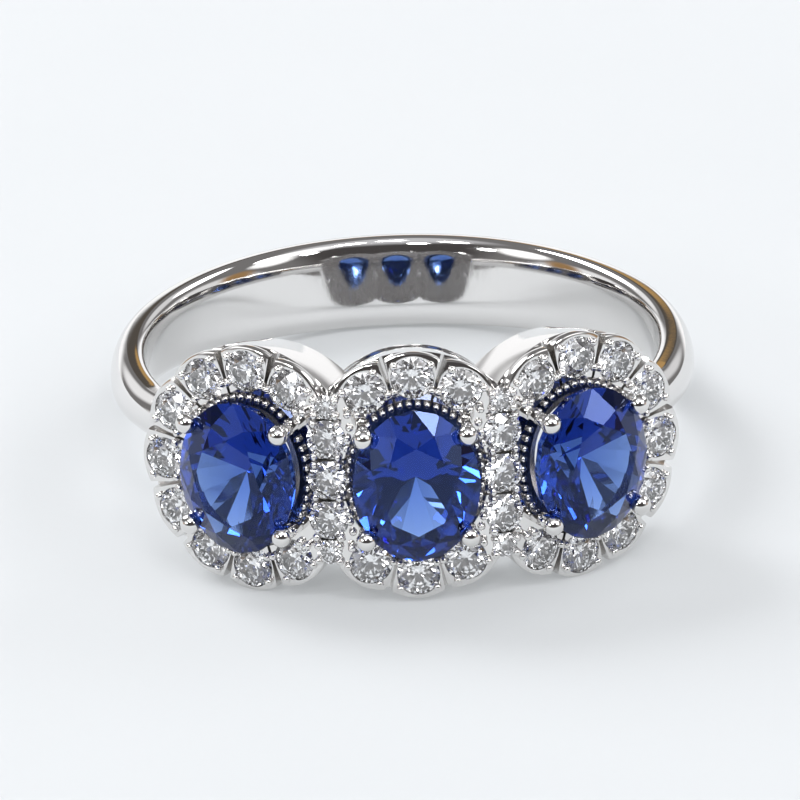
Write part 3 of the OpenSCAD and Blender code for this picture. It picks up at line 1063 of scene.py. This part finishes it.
# %% Floor
HALF_FLOOR = 1.5
corners = [(x * HALF_FLOOR, y * HALF_FLOOR, 0) for x, y in ((-1, -1), (1, -1), (1, 1), (-1, 1))]
floor_mesh = bpy.data.meshes.new("floor")
floor_mesh.from_pydata(corners, [], [(0, 1, 2, 3)])
floor = linked("floor", floor_mesh)
paper = bpy.data.materials.new("pale_paper")
paper.use_nodes = True
nt = paper.node_tree
sheet = nt.nodes["Principled BSDF"]
sheet.inputs["Roughness"].default_value = 0.7
sheet.inputs["Specular IOR Level"].default_value = 0.2
sheet.inputs["Emission Color"].default_value = (0.93, 0.965, 0.99, 1)
sheet.inputs["Emission Strength"].default_value = 0.38
grain = add(nt, "ShaderNodeTexNoise", {"Scale": 60.0})
tones = {MIX_A: (0.34, 0.35, 0.36, 1), MIX_B: (0.36, 0.37, 0.38, 1)}
tone = add(nt, "ShaderNodeMix", tones, data_type="RGBA")
spot = add(nt, "ShaderNodeTexCoord")
wire(
    nt,
    (spot.outputs["Object"], grain.inputs["Vector"]),
    (grain.outputs[0], tone.inputs[0]),
    (tone.outputs[MIXED], sheet.inputs["Base Color"]),
)
floor_mesh.materials.append(paper)
print("floor:", 2 * HALF_FLOOR, "m wide")

# %% [markdown]
# ## Light all round
# Polished metal shows only what stands round it, so the world is built for the metal. It is a dark
# grey room with soft round patches of light, added one after another. Below the table's height
# it is white, as the paper is. Two pale panels stand behind the ring and bright ones above the sides.
# A few small and very bright lamps give the stones their sparkle, and low warm patches put a little
# colour on the shoulders.

# %% World
world = bpy.data.worlds.new("studio")
bpy.context.scene.world = world
world.use_nodes = True
nt = world.node_tree
sky = nt.nodes["Background"]
way = add(nt, "ShaderNodeTexCoord")


def soft_patch(before, azimuth, height, inner, outer, colour):
    """Adds a round patch. Azimuth 0 is +Y and 90 is +X; it fades between inner and outer degrees."""
    az, el = math.radians(azimuth), math.radians(height)
    centre = (math.sin(az) * math.cos(el), math.cos(az) * math.cos(el), math.sin(el))
    near = add(nt, "ShaderNodeVectorMath", {1: centre}, operation="DOT_PRODUCT")
    fade = add(nt, "ShaderNodeMapRange", {"From Min": math.cos(math.radians(outer)),
                                          "From Max": math.cos(math.radians(inner))},
               interpolation_type="SMOOTHSTEP")
    mix = add(nt, "ShaderNodeMix", {MIX_B: (*colour, 1)}, data_type="RGBA")
    wire(
        nt,
        (way.outputs["Generated"], near.inputs[0]),
        (near.outputs["Value"], fade.inputs["Value"]),
        (fade.outputs[0], mix.inputs[0]),
        (before, mix.inputs[MIX_A]),
    )
    return mix.outputs[MIXED]


room = add(nt, "ShaderNodeRGB")
room.outputs[0].default_value = (0.17, 0.165, 0.165, 1)
print("world:", world.name)

# %% Patches of light
WHITE_BELOW = [
    (0, -30, 42, 50, (0.95, 0.95, 0.96)),
    (-90, -30, 38, 46, (0.80, 0.80, 0.81)),
    (90, -30, 38, 46, (0.72, 0.72, 0.73)),
]
PANELS_BEHIND = [
    (-36, 24, 9, 20, (0.80, 0.80, 0.81)),
    (40, 24, 9, 20, (0.65, 0.65, 0.66)),
    (3, 17, 5, 8, (0.08, 0.07, 0.06)),
    (4, 15, 2.5, 4.5, (0.42, 0.26, 0.10)),
]
BRIGHT_SIDES = [
    (-50, 40, 11, 18, (7.0, 7.05, 7.15)),
    (62, 36, 9, 15, (4.0, 4.05, 4.1)),
    (118, 41, 9, 13, (8.0, 8.0, 8.0)),
    (120, 24, 7, 14, (1.2, 1.2, 1.2)),
    (-118, 24, 8, 16, (1.3, 1.3, 1.3)),
]
WARM_AND_DARK = [
    (-100, 6, 3, 12, (0.30, 0.18, 0.08)),
    (104, 6, 3, 12, (0.30, 0.18, 0.08)),
    (180, 26, 30, 50, (0.06, 0.055, 0.055)),
]
CEILING = [
    (176, 70, 16, 38, (0.54, 0.54, 0.56)),
    (126, 46, 8, 20, (1.1, 1.1, 1.12)),
]
SPARKLES = [
    (150, 58, 4, 6, (14.0, 14.0, 14.0)),
    (-145, 52, 4, 6, (12.0, 12.0, 12.0)),
    (-168, 40, 3, 4, (24.0, 24.0, 24.0)),
    (176, 66, 3, 5, (16.0, 16.0, 16.0)),
    (138, 30, 3, 4, (16.0, 16.0, 16.0)),
    (-136, 24, 3, 4, (16.0, 16.0, 16.0)),
]
patches = WHITE_BELOW + PANELS_BEHIND + BRIGHT_SIDES + WARM_AND_DARK + CEILING + SPARKLES
light = room.outputs[0]
for patch in patches:
    light = soft_patch(light, *patch)
wire(nt, (light, sky.inputs["Color"]))
sky.inputs["Strength"].default_value = 1.25
print("patches of light:", len(patches))

# %% [markdown]
# ## Lamp
# One soft lamp stands behind the ring, high up and to the left. It draws the pale shadows to the
# front and the right of the ring. It is small against its distance, so the shadows still have a shape.

# %% Soft lamp
LAMP_AT, AIM_AT = Vector((-0.22, 0.16, 0.34)), Vector((0, 0, 0.003))
area = bpy.data.lights.new("soft_lamp", "AREA")
area.shape = "RECTANGLE"
area.size, area.size_y = 0.12, 0.10
area.energy = 0.36
lamp = linked("soft_lamp", area)
lamp.location = LAMP_AT
lamp.rotation_mode = "QUATERNION"
lamp.rotation_quaternion = (AIM_AT - LAMP_AT).to_track_quat("-Z", "Y")
print("lamp:", round((AIM_AT - LAMP_AT).length, 2), "m away")

# %% [markdown]
# ## Camera
# The picture was taken with a long lens from in front and a little above the finger's plane. We give
# the camera that angle to the upright ring, and the matrix that lays the ring down carries the camera
# along. Pan, tilt and roll put the ring at its place in the frame.

# %% Camera
AZIMUTH, ELEVATION, FAR = 1.565, 18.988, 180.0
PAN, TILT, ROLL = 0.0368, -0.3848, 1.898
PX_PER_MM, PICTURE_PX, SENSOR_MM = 30.0614, 800, 36.0
a, e = math.radians(AZIMUTH), math.radians(ELEVATION)
back = Vector((-math.sin(a) * math.cos(e), -math.cos(a) * math.cos(e), math.sin(e)))
right = (-back).cross(Vector((0, 0, 1))).normalized()
up = right.cross(-back)
looks = Matrix((right, up, -back))
turns = ((ROLL, "Z"), (TILT, "X"), (PAN, "Y"))
roll, tilt, pan = (Matrix.Rotation(math.radians(turn), 3, axis) for turn, axis in turns)
looks = roll @ tilt @ pan @ looks
axes = Matrix((looks[0], looks[1], -looks[2])).transposed()
turned = LAY.to_3x3().normalized() @ axes
camera = linked("camera", bpy.data.cameras.new("camera"))
bpy.context.scene.camera = camera
camera.matrix_world = Matrix.Translation(LAY @ (back * FAR)) @ turned.to_4x4()
camera.data.sensor_width = SENSOR_MM
camera.data.lens = SENSOR_MM * PX_PER_MM * FAR / PICTURE_PX
camera.data.clip_start, camera.data.clip_end = 0.01, 10.0
print("camera at", [round(v, 4) for v in camera.location], "lens", round(camera.data.lens, 1), "mm")

# %% [markdown]
# ## Colour and bounces
# The plain view transform keeps the white paper white. Light takes many turns inside a cut stone
# before it comes out, so the bounces are raised. Caustics would only add noise here.

# %% Colour and bounces
scene = bpy.context.scene
scene.view_settings.view_transform = "Standard"
scene.cycles.caustics_refractive = False
scene.cycles.caustics_reflective = False
scene.cycles.max_bounces = 24
scene.cycles.transmission_bounces = 20
scene.cycles.glossy_bounces = 10
print("view transform:", scene.view_settings.view_transform)
